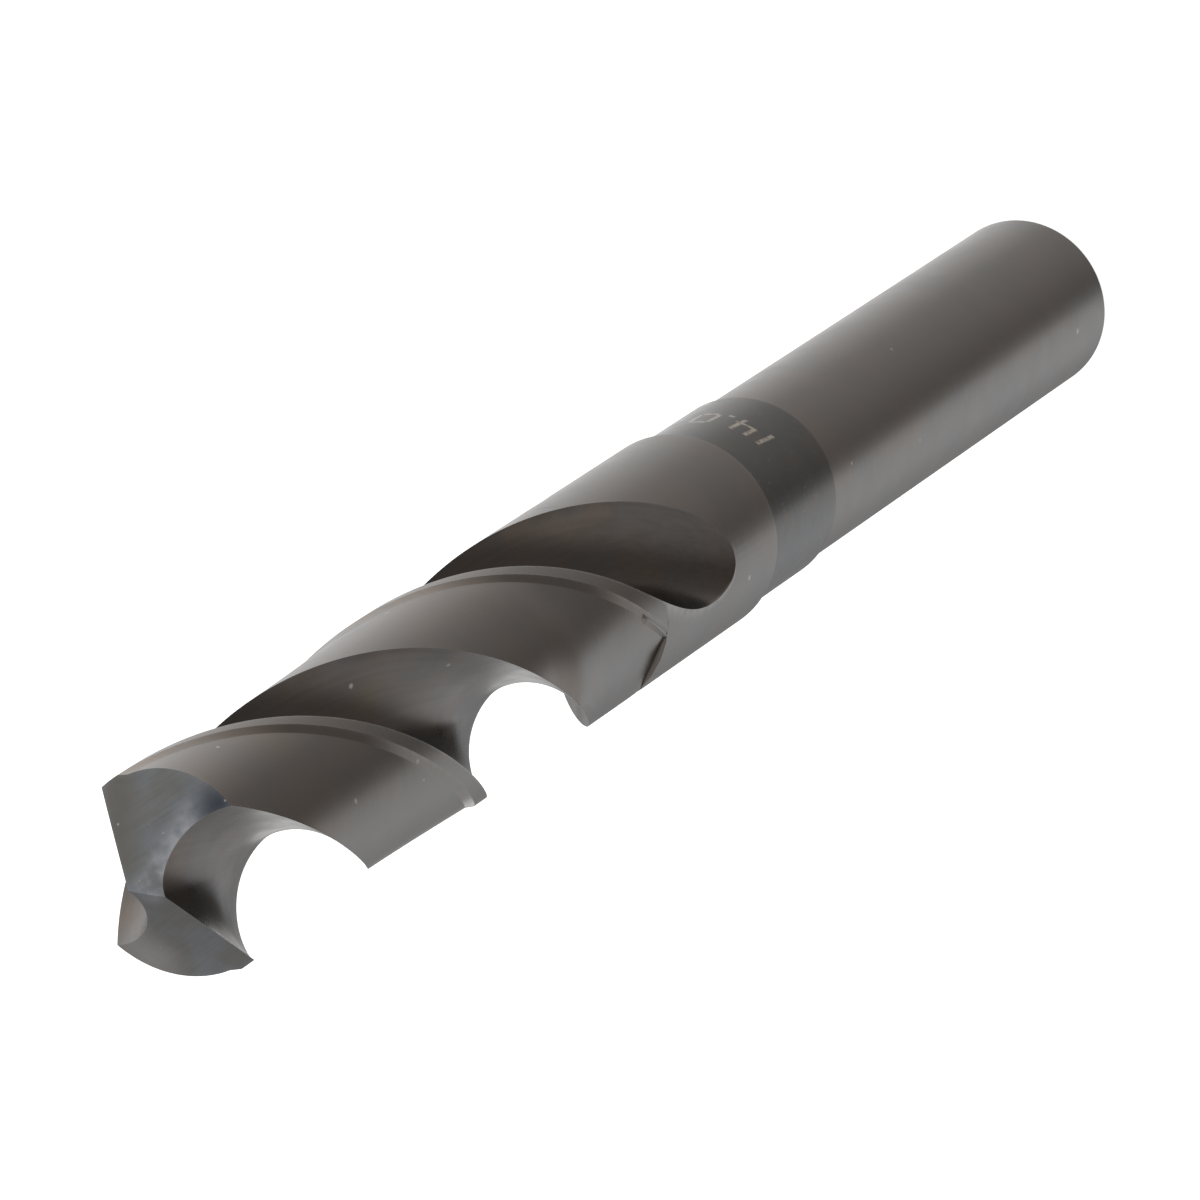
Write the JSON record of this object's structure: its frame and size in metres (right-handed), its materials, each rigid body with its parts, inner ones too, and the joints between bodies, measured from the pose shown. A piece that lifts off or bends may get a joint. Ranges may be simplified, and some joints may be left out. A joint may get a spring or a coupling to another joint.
{
  "type": "reduced-shank twist drill bit",
  "caption": "Two-flute right-hand twist drill with a plain neck and a reduced straight shank, for boring metal in a half-inch chuck.",
  "frame": {"origin": "centre of the shank's flat end face, on the axis", "axes": "+Z along the axis from the shank to the point, +X towards the outer corner of the first lip, +Y across it"},
  "size_m": [0.014, 0.014, 0.152],
  "materials": {
    "oxide_steel": "satin black oxide on ground tool steel"
  },
  "bodies": {
    "root": {"twist_drill": "oxide_steel"}
  },
  "joints": []
}
